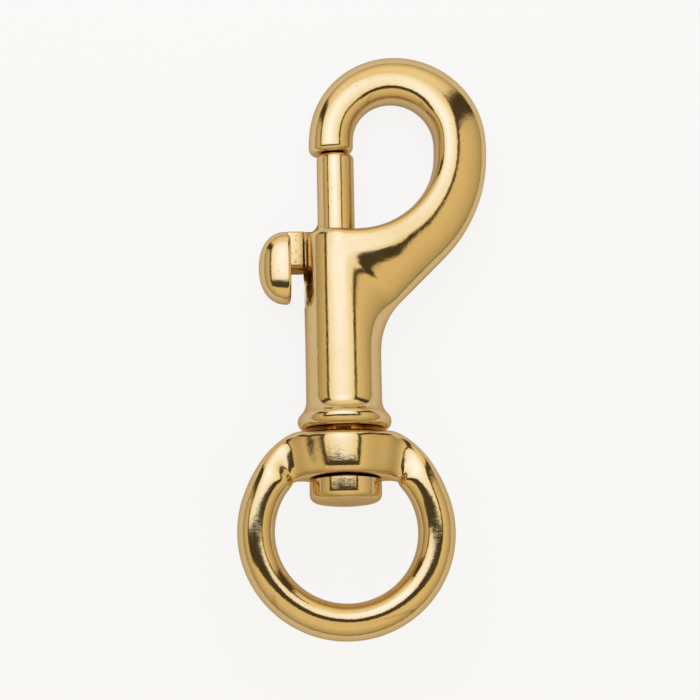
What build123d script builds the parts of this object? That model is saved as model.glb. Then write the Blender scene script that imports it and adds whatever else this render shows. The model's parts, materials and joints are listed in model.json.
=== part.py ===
"""Brass bolt snap with a swivel round eye.

Five pieces: the cast hook body, the plunger with its thumb knob, the coil spring that closes it,
the swivel eye, and the pin that holds the eye. They are drawn upright in the bench frame, with Y
along the swivel axis towards the hook, X across the hook and Z through it, and the foot of the
collar at the origin. Then they are laid down as the snap comes to rest, on its collar and crown.
"""
import os
from math import atan2, copysign, cos, degrees, pi, radians, sin, sqrt

from build123d import *

# Barrel and collar, in millimetres
barrel_radius = 6.7
barrel_height = 36.15
barrel_corner = 2.4
collar_radius = 8.27
collar_rim = 3.1
cove_height = 6.1
cove_sink = 0.3

# Hook, seen from the front
flank_height = 14.0
flank_radius = 13.1
hook_lean = 45
shoulder_radius = 25.9
hook_reach = 26.3
hook_height = 68.1
crown_radius = 15.9
crown_lean = 0.25
bulge_width = 9.3
crown_width = 8.55
nose_width = 7.9
throat_radius = 15.0
nose_round = 1.2
nose_toe = 0.8
nose_heel = 1.5
nose_lip = 1.0

# Hook, through its thickness
bulge_thickness = 9.2
crown_thickness = 7.7
nose_thickness = 7.9

# Plunger
bolt_radius = 3.3
bolt_offset = -0.83
bolt_top = 50.0
bolt_bottom = 20.4
bolt_tip_round = 0.9
arm_top = 35.75
arm_height = 7.0
arm_thickness = 5.0
arm_edge = 0.4
arm_under_edge = 1.6
arm_root = 1.7
knob_face = 9.15
knob_reach = 14.75
knob_centre = 29.3
knob_height = 12.9
knob_thickness = 7.2
knob_rim = 0.7
travel = 6.6

# Swivel pin and eye
pin_radius = 3.5
pin_seat = 6.2
head_radius = 6.35
head_height = 4.2
head_edge = 1.4
head_dome = 0.5
boss_height = 8.35
boss_thickness = 14.1
boss_front_radius = 10.9
boss_half_width = 9.95
boss_corner = 0.85
eye_drop = 18.05
eye_radius = 12.55
wire_width = 6.6

# Spring
spring_wire = 0.8
spring_turns = 6.5

# Clearances
bolt_clearance = 0.1
nose_gap = 0.15
slot_clearance = 0.2
stop_clearance = 0.1
spring_clearance = 0.25
spring_end_gap = 0.05
pin_clearance = 0.06
swivel_gap = 0.45
head_gap = 0.3
overrun = 2.0

# How the hook's section changes on its way: at the foot of the barrel, where the hook leaves it, at the
# start and the end of the slope, at the bulge, at the crown, at the nose and at its end
crown_crest_share = 0.44
crest_shares = (0.5, 0.5, 0.39, 0.37, 0.36, crown_crest_share, 0.5, 0.5)
inner_powers = (2, 2, 3.3, 3.2, 2.8, 2.4, 2.3, 2.3)
outer_powers = (2, 2, 2, 1.85, 1.75, 1.9, 2.1, 2.1)
root_thickness_shares = (1, 1, 0.98, 0.84)
barrel_shares = (0, 0.33, 0.67)
nose_inset_shares = (0, 0.3, 1)
nose_rise_shares = (1, 0.3, 0)

# How the eye's section changes from the middle of its boss to the plain ring
boss_shares = (0, 0.2, 0.4, 0.6, 0.8)
boss_powers = (6, 6, 5.6, 5, 4.2)
boss_inner_share = 0.84
corner_power = 3.2
corner_thickness_share = 1.06
hollow_angle = 46
ring_angles = (40, 34, 28, 22, 16)
ring_swell_shares = (0.055, 0.03, 0.012, 0, 0)
ring_powers = (2.6, 2.2, 2.05, 2, 2)

# Number of points on a section of the hook or of the eye, and on the knob's profile, and its fullness
section_points = 16
elbow_steps = 9
slope_steps = 4
shoulder_steps = 6
crown_steps = 12
knob_steps = 6
knob_power = 2.4

# Values that follow from the sizes above
bore_radius = bolt_radius + bolt_clearance
slot_width = arm_thickness + 2 * slot_clearance
arm_bottom = arm_top - arm_height
slot_bottom = arm_bottom - travel - stop_clearance
nose_end = bolt_top + nose_gap
loop_radius = crown_radius - (bulge_width + nose_width) / 2
wire_radius = wire_width / 2
boss_top = -swivel_gap
boss_bottom = boss_top - boss_height
head_top = boss_bottom - head_gap


def between(first, last, share):
    """The value that lies at this share of the way from first to last."""
    return first + (last - first) * share


def section(inner, outer, thickness, crest_share, inner_power, outer_power):
    """Closed curve round one section, square to the hook's plane.

    It runs from the inner to the outer point. Its crest stands at crest_share of that width, and on
    each side of the crest it is a quarter of a superellipse: power 2 is round and a higher one boxy.
    """
    points = []
    for step in range(section_points):
        turn = 2 * pi * step / section_points
        power = outer_power if cos(turn) >= 0 else inner_power
        side_share = 1 - crest_share if cos(turn) >= 0 else crest_share
        along = crest_share + side_share * copysign(abs(cos(turn)) ** (2 / power), cos(turn))
        depth = thickness / 2 * copysign(abs(sin(turn)) ** (2 / power), sin(turn))
        points.append(inner + (outer - inner) * along + Vector(0, 0, depth))
    knots = [step / section_points for step in range(section_points + 1)]
    return Wire([Edge.make_spline(points, periodic=True, parameters=knots)])


def on_circle(centre, radius, angle):
    """Point of a circle in the hook's plane, at an angle in degrees from +X."""
    return centre + Vector(radius * cos(radians(angle)), radius * sin(radians(angle)), 0)


def meet_circle(start, towards, centre, radius, far=False):
    """Point where the line from start through towards enters a circle, or leaves it on the far side."""
    step = (towards - start).normalized()
    offset = start - centre
    half = step.dot(offset)
    root = sqrt(half**2 - offset.dot(offset) + radius**2)
    return start + step * (root - half if far else -root - half)


def hook_outline():
    """Centres of the arcs that the hook's outer and inner edges follow, seen from the front."""
    lean = radians(hook_lean)
    flank = Vector(barrel_radius + flank_radius, flank_height, 0)
    slope_start = on_circle(flank, flank_radius, 180 - hook_lean)
    shoulder_x = hook_reach - shoulder_radius
    slope_length = (shoulder_x + shoulder_radius * cos(lean) - slope_start.X) / sin(lean)
    shoulder_y = slope_start.Y + slope_length * cos(lean) + shoulder_radius * sin(lean)
    return {
        "flank": flank,
        "slope_start": slope_start,
        "slope": Vector(sin(lean), cos(lean), 0) * slope_length,
        "shoulder": Vector(shoulder_x, shoulder_y, 0),
        "crown": Vector(hook_reach - crown_radius, hook_height - crown_radius, 0),
        "throat": Vector(hook_reach - bulge_width - throat_radius, barrel_height + throat_radius, 0),
        "loop": Vector(hook_reach - bulge_width - loop_radius, hook_height - crown_width - loop_radius, 0),
    }


def barrel_inner_end(outer, aim):
    """Where a section that starts at outer and runs along aim leaves the barrel.

    That is on its slotted side, on the rounded corner at the top of that side, or on its top.
    """
    corner = Vector(barrel_corner - barrel_radius, barrel_height - barrel_corner, 0)
    side = outer + aim * ((-barrel_radius - outer.X) / aim.X)
    if side.Y <= corner.Y:
        return side
    top = outer + aim * ((barrel_height - outer.Y) / aim.Y)
    if top.X >= corner.X:
        return top
    return meet_circle(outer, outer + aim, corner, barrel_corner, far=True)


def elbow_ends(outline):
    """Ends of the sections that fan out round the flank's centre, from level to the lean of the hook."""
    flank = outline["flank"]
    for step in range(elbow_steps):
        share = step / elbow_steps
        outer = on_circle(flank, flank_radius, 180 - hook_lean * share)
        yield 1 + share, barrel_inner_end(outer, (outer - flank).normalized()), outer


def slope_ends(outline):
    """Ends of the sections square to the straight slope, whose inner ends run into the throat."""
    throat = outline["throat"]
    aim = Vector(-cos(radians(hook_lean)), sin(radians(hook_lean)), 0)
    for step in range(slope_steps):
        share = step / slope_steps
        outer = outline["slope_start"] + outline["slope"] * share
        inner = barrel_inner_end(outer, aim)
        if inner.X > throat.X:
            inner = meet_circle(outer, outer + aim, throat, throat_radius)
        yield 2 + share, inner, outer


def shoulder_ends(outline):
    """Ends of the sections square to the shoulder's arc, up to the bulge of the hook."""
    shoulder, throat = outline["shoulder"], outline["throat"]
    for step in range(shoulder_steps):
        share = step / shoulder_steps
        outer = on_circle(shoulder, shoulder_radius, -hook_lean * (1 - share))
        yield 3 + share, meet_circle(outer, shoulder, throat, throat_radius), outer


def crown_ends(outline):
    """Ends of the sections from the bulge to the nose, between two circles that aren't concentric.

    The top of the crown leans over towards the nose.
    """
    crown, loop = outline["crown"], outline["loop"]
    for step in range(crown_steps + 1):
        share = step / crown_steps
        lean = Vector(-crown_lean * sin(pi * share), 0, 0)
        outer = on_circle(crown, crown_radius, 180 * share)
        yield 4 + 2 * share, meet_circle(outer, crown, loop, loop_radius) + lean, outer + lean


def eased_slope(before, after):
    """Slope of a smooth curve between two rises, and none at a turn, so that it never overshoots."""
    return 2 * before * after / (before + after) if before * after > 0 else 0


def graded(values, way):
    """Smooth value at a place on the way, through values at its whole numbers (a cubic curve)."""
    last = len(values) - 1
    start = min(int(way), last - 1)
    share = way - start
    first, second = values[start], values[start + 1]
    rise = second - first
    lead = eased_slope(first - values[max(start - 1, 0)], rise)
    trail = eased_slope(rise, values[min(start + 2, last)] - second)
    return first + share * (lead + share * (3 * rise - 2 * lead - trail + share * (lead + trail - 2 * rise)))


def hook():
    """Barrel and hook in one loft, from inside the collar to the flat end of the nose over the bolt."""
    outline = hook_outline()
    thicknesses = [2 * barrel_radius * share for share in root_thickness_shares]
    thicknesses += [bulge_thickness, crown_thickness, nose_thickness, nose_thickness]
    stations = []
    for share in barrel_shares:
        height = between(collar_rim / 2, flank_height, share)
        stations.append((share, Vector(-barrel_radius, height, 0), Vector(barrel_radius, height, 0)))
    for ends in (elbow_ends, slope_ends, shoulder_ends, crown_ends):
        stations += ends(outline)
    sections = []
    for way, inner, outer in stations:
        axis_share = -inner.X / (outer.X - inner.X) if way < 2 else 0
        crest_share = max(axis_share, graded(crest_shares, way))
        powers = graded(inner_powers, way), graded(outer_powers, way)
        sections.append(section(inner, outer, graded(thicknesses, way), crest_share, *powers))
    outer_x = hook_reach - 2 * crown_radius
    for inset_share, rise_share in zip(nose_inset_shares, nose_rise_shares):
        height = nose_end + nose_round * rise_share
        inner = Vector(outer_x + nose_width - nose_heel * inset_share, height, 0)
        outer = Vector(outer_x + nose_toe * inset_share, height, 0)
        form = crest_shares[-1], inner_powers[-1], outer_powers[-1]
        sections.append(section(inner, outer, nose_thickness - 2 * nose_lip * inset_share, *form))
    return Solid.make_loft(sections)


def collar():
    """Collar at the barrel's foot: a full round rim and a cove that sweeps up into the barrel."""
    rim = collar_rim / 2
    cove_top = Vector(barrel_radius - cove_sink, cove_height, 0)
    cove_foot = Vector(collar_radius - rim * (1 - cos(pi / 4)), rim + rim * sin(pi / 4), 0)
    with BuildSketch() as profile:
        with BuildLine():
            base = Line((0, 0), (collar_radius - rim, 0))
            edge = RadiusArc(base @ 1, cove_foot, -rim, short_sagitta=True)
            cove = TangentArc(edge @ 1, cove_top, tangent=Vector(-1, 1, 0))
            Polyline(cove @ 1, (0, cove_height), (0, 0))
        make_face()
    return revolve(profile.sketch, axis=Axis.Y)


def slot_cut():
    """Space of the side slot, open at the barrel's top and with rounded corners at its foot."""
    height = barrel_height + overrun - slot_bottom
    opening = Plane.ZY * Pos(0, slot_bottom + height / 2) * Rectangle(slot_width, height)
    foot = opening.vertices().sort_by(Axis.Y)[:2]
    opening = fillet(foot, arm_under_edge + slot_clearance)
    return Pos(bolt_offset, 0, 0) * extrude(opening, amount=barrel_radius + overrun)


def upright(radius, bottom, top):
    """Round bar along Y between two heights."""
    return Pos(0, bottom, 0) * Rot(X=-90) * Cylinder(
        radius, top - bottom, align=(Align.CENTER, Align.CENTER, Align.MIN)
    )


def hook_body():
    """The casting: collar, barrel and hook, bored for the bolt and the pin and slotted for the arm."""
    casting = hook() + collar()
    casting -= Pos(bolt_offset, 0, 0) * upright(bore_radius, pin_seat, barrel_height + overrun)
    casting -= upright(pin_radius, -overrun, pin_seat)
    return casting - slot_cut()


def knob():
    """Thumb knob: a dome with a rounded rim, turned about the arm's line and then squeezed flat."""
    radius = knob_height / 2
    depth = knob_reach - knob_face - knob_rim
    curve = []
    for step in range(knob_steps + 1):
        turn = pi / 2 * step / knob_steps
        reach = knob_face + knob_rim + depth * cos(turn) ** (2 / knob_power)
        curve.append((-reach, radius * sin(turn) ** (2 / knob_power)))
    with BuildSketch() as profile:
        with BuildLine():
            dome = Spline(*curve, tangents=[(0, 1), (1, 0)])
            rim = TangentArc(dome @ 1, (-knob_face, radius - knob_rim), tangent=dome % 1)
            Polyline(rim @ 1, (-knob_face, 0), dome @ 0)
        make_face()
    dome = revolve(profile.sketch, axis=Axis.X)
    return Pos(0, knob_centre, 0) * scale(dome, by=(1, 1, knob_thickness / knob_height))


def arm():
    """Arm that comes out through the slot, from the bolt's axis into the back of the knob."""
    length = bolt_offset + knob_face + knob_rim
    bar = Pos(bolt_offset - length / 2, arm_top - arm_height / 2, 0) * Box(length, arm_height, arm_thickness)
    long_edges = bar.edges().filter_by(Axis.X).sort_by(Axis.Y)
    bar = fillet(long_edges[:2], arm_under_edge)
    upper_edges = bar.edges().filter_by(Axis.X).sort_by(Axis.Y)[-2:]
    return fillet(upper_edges, arm_edge)


def plunger():
    """The bolt, its arm and its thumb knob in one casting, with a fillet at the arm's upper root."""
    bolt = Pos(bolt_offset, 0, 0) * upright(bolt_radius, bolt_bottom, bolt_top)
    bolt = fillet(bolt.edges().sort_by(Axis.Y)[-1], bolt_tip_round)
    casting = bolt + arm()
    root = casting.edges().filter_by(GeomType.CIRCLE).filter_by_position(
        Axis.Y, arm_top - arm_edge / 2, arm_top + arm_edge / 2
    )
    casting = fillet(root.sort_by(Axis.X)[0], arm_root)
    return casting + knob()


def spring():
    """Coil spring between the pin's seat and the foot of the bolt."""
    radius = bore_radius - spring_clearance - spring_wire / 2
    bottom = pin_seat + spring_end_gap + spring_wire / 2
    height = bolt_bottom - spring_end_gap - spring_wire / 2 - bottom
    coil = Helix(height / spring_turns, height, radius, center=(bolt_offset, bottom, 0), direction=(0, 1, 0))
    wire = Plane(origin=coil @ 0, z_dir=coil % 0) * Circle(spring_wire / 2)
    return sweep(wire, path=coil, is_frenet=True)


def eye_point(radius, angle):
    """Point at a radius and an angle in degrees about the middle of the eye."""
    return on_circle(Vector(0, -eye_drop, 0), radius, angle)


def flipped(point):
    """The same point on the other side of the swivel axis."""
    return Vector(-point.X, point.Y, 0)


def boss_half_depth(across):
    """Half of the boss's thickness at a distance from the swivel axis: an arc, and never under the wire."""
    arc = sqrt(boss_front_radius**2 - across**2) - boss_front_radius + boss_thickness / 2
    return max(arc, wire_radius)


def boss_sections():
    """Sections of the right half of the boss, from its middle to the plain ring."""
    for share, power in zip(boss_shares, boss_powers):
        outer = Vector(boss_half_width * share, boss_top, 0)
        inner = Vector(outer.X * boss_inner_share, boss_bottom, 0)
        thickness = 2 * boss_half_depth((inner.X + outer.X) / 2)
        yield inner, outer, thickness, power
    corner = Vector(boss_half_width, boss_top - boss_corner, 0)
    yield eye_point(eye_radius, hollow_angle), corner, wire_width * corner_thickness_share, corner_power
    for angle, swell_share, power in zip(ring_angles, ring_swell_shares, ring_powers):
        outer = eye_point(eye_radius + wire_width * (1 + swell_share), angle)
        yield eye_point(eye_radius, angle), outer, wire_width, power


def swivel_eye():
    """The eye: a round ring that swells into a thick boss, bored for the swivel pin."""
    right = list(boss_sections())
    left = [(flipped(inner), flipped(outer), *rest) for inner, outer, *rest in right[:0:-1]]
    loops = [section(inner, outer, depth, 0.5, power, power) for inner, outer, depth, power in left + right]
    boss = Solid.make_loft(loops)
    middle = Axis((0, -eye_drop, 0), (0, 0, -1))
    ring = revolve(Face(loops[-1]), axis=middle, revolution_arc=180 + 2 * ring_angles[-1])
    casting = boss + ring
    return casting - upright(pin_radius + pin_clearance, boss_bottom - overrun, boss_top + overrun)


def swivel_pin():
    """Rivet with a wide head under the boss and a shank through the boss into the barrel's foot."""
    head_bottom = head_top - head_height
    dome_radius = (head_radius**2 + head_dome**2) / (2 * head_dome)
    with BuildSketch() as profile:
        with BuildLine():
            Polyline((0, head_bottom), (0, pin_seat), (pin_radius, pin_seat), (pin_radius, head_top))
            Polyline((pin_radius, head_top), (head_radius, head_top), (head_radius, head_bottom + head_dome))
            RadiusArc((head_radius, head_bottom + head_dome), (0, head_bottom), dome_radius)
        make_face()
        fillet(profile.vertices().sort_by_distance((head_radius, head_bottom)).first, head_edge)
    return revolve(profile.sketch, axis=Axis.Y)


def rest_pitch():
    """Angle in degrees by which the axis dips towards the hook when collar and crown touch the table."""
    crest_height = hook_height - crown_width * (1 - crown_crest_share)
    return degrees(atan2(collar_radius - crown_thickness / 2, crest_height - collar_rim / 2))


def laid_down(pieces):
    """The pieces lying at rest, with the origin under the middle of their common box."""
    lying = {name: Rot(X=-rest_pitch()) * piece for name, piece in pieces.items()}
    box = Compound(children=[Compound(piece.wrapped) for piece in lying.values()]).bounding_box()
    middle = box.center()
    shift = Pos(-middle.X, -middle.Y, -box.min.Z)
    return {name: shift * piece for name, piece in lying.items()}, shift


pieces = {
    "hook_body": hook_body(),
    "plunger": plunger(),
    "spring": spring(),
    "swivel_eye": swivel_eye(),
    "swivel_pin": swivel_pin(),
}
lying, shift = laid_down(pieces)
os.makedirs("parts", exist_ok=True)
for name, piece in lying.items():
    export_step(piece, f"parts/{name}.step")
foot = shift.position
print(f"collar's foot on the swivel axis at {foot.X:.4f}, {foot.Y:.4f}, {foot.Z:.4f} mm")
print(f"the axis dips {rest_pitch():.4f} degrees towards the hook")
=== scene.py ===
import json
from math import cos, pi, radians, sin, tan

import bmesh
import bpy
import numpy as np
from bpy.props import FloatProperty, FloatVectorProperty, PointerProperty
from bpy.types import Operator, Panel, PropertyGroup
from mathutils import Matrix


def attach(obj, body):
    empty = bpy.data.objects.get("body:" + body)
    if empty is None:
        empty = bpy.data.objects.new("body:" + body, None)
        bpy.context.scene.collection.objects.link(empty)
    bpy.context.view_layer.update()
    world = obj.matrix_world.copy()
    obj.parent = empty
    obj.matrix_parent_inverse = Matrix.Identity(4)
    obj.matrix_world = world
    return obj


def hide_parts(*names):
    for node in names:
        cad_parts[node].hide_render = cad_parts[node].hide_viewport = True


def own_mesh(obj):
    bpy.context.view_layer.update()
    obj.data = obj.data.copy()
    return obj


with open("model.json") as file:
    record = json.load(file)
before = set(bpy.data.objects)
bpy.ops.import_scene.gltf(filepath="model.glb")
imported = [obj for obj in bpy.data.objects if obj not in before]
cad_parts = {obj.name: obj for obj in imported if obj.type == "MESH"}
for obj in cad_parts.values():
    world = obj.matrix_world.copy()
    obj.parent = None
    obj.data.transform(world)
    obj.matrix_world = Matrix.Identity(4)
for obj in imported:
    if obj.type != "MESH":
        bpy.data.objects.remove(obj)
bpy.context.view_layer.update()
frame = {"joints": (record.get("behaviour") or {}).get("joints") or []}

bl_info = {
    "name": "Swivel Bolt Snap",
    "version": (1, 0, 0),
    "blender": (4, 5, 0),
    "location": "3D View > Sidebar > Bolt Snap",
    "description": "Builds a polished brass bolt snap with a swivel eye around its CAD frame",
    "category": "Add Mesh",
}

MM = 0.001

# The snap is worked out upright on the bench: the first number across the hook, the second along the
# swivel axis from the collar's foot towards the hook, the third through the hook towards the viewer.
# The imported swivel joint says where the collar's foot lies and which way the axis runs.
SWIVEL = next(joint for joint in frame["joints"] if joint["name"] == "eye_swivel")
FOOT = np.array(SWIVEL["pos_m"])
ALONG = np.array(SWIVEL["axis"]) / np.linalg.norm(SWIVEL["axis"])
ACROSS = np.array([1.0, 0.0, 0.0])
BENCH = np.stack([ACROSS, ALONG, np.cross(ACROSS, ALONG)])

# How the hook's section changes on its way: at the foot of the barrel, where the hook leaves it, at the
# start and the end of the slope, at the bulge, at the crown, at the nose and at its end
CREST_SHARES = (0.5, 0.5, 0.36, 0.35, 0.36, 0.44, 0.5, 0.5)
INNER_POWERS = (2, 2, 5.5, 4.5, 2.8, 2.4, 2.3, 2.3)
OUTER_POWERS = (2, 2, 1.5, 1.4, 1.45, 1.85, 2.0, 2.0)
RIM_SHARES = (0, 0, 0.2, 0.3, 0.3, 0.05, 0.08, 0.08)
RIM_POWER = 8

# Thickness of the hook's root at the first four of these places, in barrel widths
ROOT_THICKNESS_SHARES = (1, 1, 1, 0.85)

# How the eye's section changes from the middle of its boss to the plain ring
BOSS_SHARES = np.array((0, 0.2, 0.4, 0.6, 0.8))
BOSS_POWERS = np.array((6, 6, 5.6, 5, 4.2))
BOSS_INNER_SHARE = 0.84
CORNER_POWER = 3.2
HOLLOW_ANGLE = 46
RING_ANGLES = np.array((40, 34, 28, 22, 16, 4, -12, -36, -60, -90))
RING_SWELL_SHARES = np.array((0.055, 0.03, 0.012, 0, 0, 0, 0, 0, 0, 0))
RING_POWERS = np.array((2.6, 2.2, 2.05, 2, 2, 2, 2, 2, 2, 2))
RING_DEPTH_SHARES = np.array((0.88, 0.96, 0.99, 1, 1, 1, 1, 1, 1, 1))

# Key sections that stand beyond the boss's middle as a mirror image, so that the curve crosses it level
MIRRORED_KEYS = 3

# Superellipse powers of the knob, seen from the front and along the arm
KNOB_POWER = 2.2
KNOB_SECTION_POWER = 3

# How fine the meshes are: columns round a piece, and rows along each stretch of the castings
ROUND_COLUMNS = 96
BARREL_ROWS = 40
ELBOW_ROWS = 70
SLOPE_ROWS = 50
SHOULDER_ROWS = 60
CROWN_ROWS = 160
CASTING_ROWS = 420
EYE_ROWS = 220
COIL_ROWS = 36
WIRE_COLUMNS = 14

# Edges that turn by more than this stay sharp
SHARP = radians(32)

# Small shares and angles: a dome's flat tip, the tilt of the rivet head's edge, the bore's mouth beside the
# slot's lip, the width in which the barrel's round passes into the casting, and the lip's place
APEX = 0.02
DOME_TILT = 0.09
MOUTH_SHARE = 0.6
AXIS_SHARE = 0.25
LIP_SHARE = 0.7

# How far the bore's cutter reaches down past the rivet's top, and how far cutters stand out of the metal
OVERLAP = 0.4 * MM
OVERRUN = 4 * MM

# Patterns of the metals in cycles a metre, and the depth of their relief in metres. The scratches have a
# scale for each axis, and the last two pairs are the roughness's spread.
PATCH_SCALE = 190
SMEAR_SCALE = 420
PORE_SCALE = 2100
WAVE_SCALE, WAVE_DEPTH = 240, 1.2e-5
DENT_SCALE, DENT_DEPTH = 950, 1.5e-5
FUZZ_SCALE, FUZZ_DEPTH = 3600, 8e-6
SCRATCH_SCALES, SCRATCH_DEPTH = (9000, 500, 2500), 1e-6
SCRATCH_TURN = radians(24)
GRAIN_SCALE, GRAIN_DEPTH = 2600, 2.5e-5
HOLE_SCALE, HOLE_DEPTH = 1900, 6e-5
STREAK_SCALE = 1800
STREAK_SHADE = 0.6
POLISH_SPREAD = (0.7, 1.5)
STEEL_ROUGHNESS = (0.22, 0.4)

# The cast skin's edge, and the painted shade on it, for the shade in the slot and under the arm: from the
# bolt outwards, and up from the arm's lower side
SKIN_EDGE = 0.1 * MM
PAINTED_SHADE_REACH = 2.1 * MM
PAINTED_SHADE_FADE = 0.3 * MM
PAINTED_SHADE_FULL = 0.5 * MM
PAINTED_SHADE_TOP = 1.1 * MM

# Half of the floor's width in metres
FLOOR_REACH = 3.0

# How white the floor and the backdrop show to the camera, and the floor in the metal
FLOOR_WHITE = 0.85
BACKDROP_WHITE = 0.95
MIRRORED_WHITE = 0.2

# The room's walls by direction: how far it points out of the bench, and its slant, which is its part along
# the axis over its part across. A corner's slants are where its seam starts, is full, eases and ends.
HORIZON = 0.08
WALL_HEIGHT = 0.7
TOP_SLANTS = (0.8, 1.4)
TOP_HEIGHTS = (0.1, 0.5)
SIDE_CORNER = (0.60, 0.70, 1.10, 1.20)
FOOT_CORNER = (-1.0, -0.96, -0.92, -0.88)
FOOT_SHADE = 0.6
GROUND_SHADE = 0.5

# The panel's edges: how uneven, in how many cycles a metre, and how soft
UNEVEN = 6 * MM
UNEVEN_SCALE = 55
SOFT = 3 * MM

# Sockets of a Mix node for each kind of data: first input, second input and result
MIX_SOCKETS = {"FLOAT": (2, 3, 0), "VECTOR": (4, 5, 1), "RGBA": (6, 7, 2)}


def length(name, description, millimetres):
    """A size in metres, given in millimetres."""
    metres = millimetres * MM
    return FloatProperty(name=name, description=description, default=metres, unit="LENGTH", precision=5)


def angle(name, description, degrees):
    """An angle in radians, given in degrees."""
    return FloatProperty(name=name, description=description, default=radians(degrees), subtype="ANGLE")


def share(name, description, default):
    """A plain number between nothing and all."""
    limits = {"min": 0, "max": 1}
    return FloatProperty(name=name, description=description, default=default, subtype="FACTOR", **limits)


def colour(name, description, default, brightest=1):
    """A linear colour."""
    limits = {"min": 0, "max": brightest}
    return FloatVectorProperty(name=name, description=description, default=default, subtype="COLOR", **limits)


def light(name, description, default):
    """A linear colour that may be brighter than white."""
    return colour(name, description, default, brightest=4)


class HookSizes(PropertyGroup):
    """Sizes of the cast hook body."""

    barrel_radius: length("Barrel radius", "Outside of the plain barrel", 6.7)
    barrel_height: length("Barrel height", "From the collar's foot to the barrel's top", 35.5)
    barrel_corner: length("Barrel corner", "Rounding at the top of the slotted side", 2.4)
    barrel_edge: length("Barrel edge", "Rounding of the barrel's upper edge", 1.5)
    collar_radius: length("Collar radius", "Outside of the collar's rim", 8.27)
    collar_rim: length("Collar rim", "Height of the full round rim", 3.1)
    flank_height: length("Flank height", "Where the hook starts to leave the barrel", 14.0)
    flank_radius: length("Flank radius", "Hollow between barrel and hook", 13.1)
    hook_lean: angle("Hook lean", "Slope of the hook's root away from the barrel", 45)
    shoulder_radius: length("Shoulder radius", "Outer edge from the slope to the bulge", 25.9)
    hook_reach: length("Hook reach", "From the swivel axis to the outside of the bulge", 26.3)
    hook_height: length("Hook height", "From the collar's foot to the top of the crown", 68.1)
    crown_radius: length("Crown radius", "Outer edge of the crown", 15.9)
    crown_lean: length("Crown lean", "How far the crown's top leans towards the nose", 0.25)
    bulge_width: length("Bulge width", "Width of the hook at its bulge", 9.3)
    crown_width: length("Crown width", "Width of the hook at its crown", 8.55)
    nose_width: length("Nose width", "Width of the hook at its nose", 7.9)
    throat_radius: length("Throat radius", "Inner edge from the barrel's top to the bulge", 15.0)
    nose_round: length("Nose round", "Height of the rounding at the nose's end", 1.2)
    nose_toe: length("Nose toe", "Rounding of the nose's end on its outer side", 0.8)
    nose_heel: length("Nose heel", "Rounding of the nose's end on its inner side", 2.1)
    nose_lip: length("Nose lip", "Rounding of the nose's end at front and back", 1.0)
    nose_gap: length("Nose gap", "Space between the nose and the closed bolt", 0.15)
    bulge_thickness: length("Bulge thickness", "Thickness of the hook at its bulge", 9.2)
    crown_thickness: length("Crown thickness", "Thickness of the hook at its crown", 7.7)
    nose_thickness: length("Nose thickness", "Thickness of the hook at its nose", 7.9)
    easing: length("Easing", "How softly one curve of the casting passes into the next", 1.1)


class PlungerSizes(PropertyGroup):
    """Sizes of the plunger, and of the slot and bore that it runs in."""

    bolt_radius: length("Bolt radius", "Outside of the round bolt", 3.3)
    bolt_offset: length("Bolt offset", "From the swivel axis to the bolt's axis", -0.83)
    bolt_top: length("Bolt top", "Tip of the closed bolt", 50.0)
    bolt_bottom: length("Bolt bottom", "Foot of the closed bolt", 20.4)
    bolt_tip_round: length("Bolt tip round", "Rounding of the bolt's tip", 0.9)
    arm_top: length("Arm top", "Upper side of the arm", 35.5)
    arm_height: length("Arm height", "Height of the arm", 7.0)
    arm_thickness: length("Arm thickness", "Thickness of the arm", 5.0)
    arm_edge: length("Arm edge", "Rounding of the arm's upper edges", 0.4)
    arm_under_edge: length("Arm under edge", "Rounding of the arm's lower edges", 1.0)
    arm_seat: length("Arm seat", "How far the arm goes into the knob", 0.45)
    arm_neck: length("Arm neck", "How much the arm narrows on each side in the slot", 0.5)
    arm_neck_start: length("Arm neck start", "From the swivel axis to where the arm has narrowed", -6.6)
    arm_root: length("Arm root", "Fillet between the arm and the bolt", 2.3)
    knob_face: length("Knob face", "From the swivel axis to the back of the knob", 9.15)
    knob_reach: length("Knob reach", "From the swivel axis to the tip of the knob", 14.75)
    knob_centre: length("Knob centre", "Height of the middle of the knob", 29.3)
    knob_height: length("Knob height", "Height of the knob", 12.9)
    knob_thickness: length("Knob thickness", "Thickness of the knob", 7.2)
    knob_rim: length("Knob rim", "Rounding of the knob's back edge", 0.7)
    travel: length("Travel", "How far the bolt draws back", 6.6)
    bolt_clearance: length("Bolt clearance", "Space round the bolt in its bore", 0.1)
    slot_clearance: length("Slot clearance", "Space on each side of the arm in its slot", 0.2)
    stop_clearance: length("Stop clearance", "Space under the arm when the bolt is drawn back", 0.1)
    slot_lip: length("Slot lip", "Rounding of the slot's edge on the hook's face", 0.45)


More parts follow.
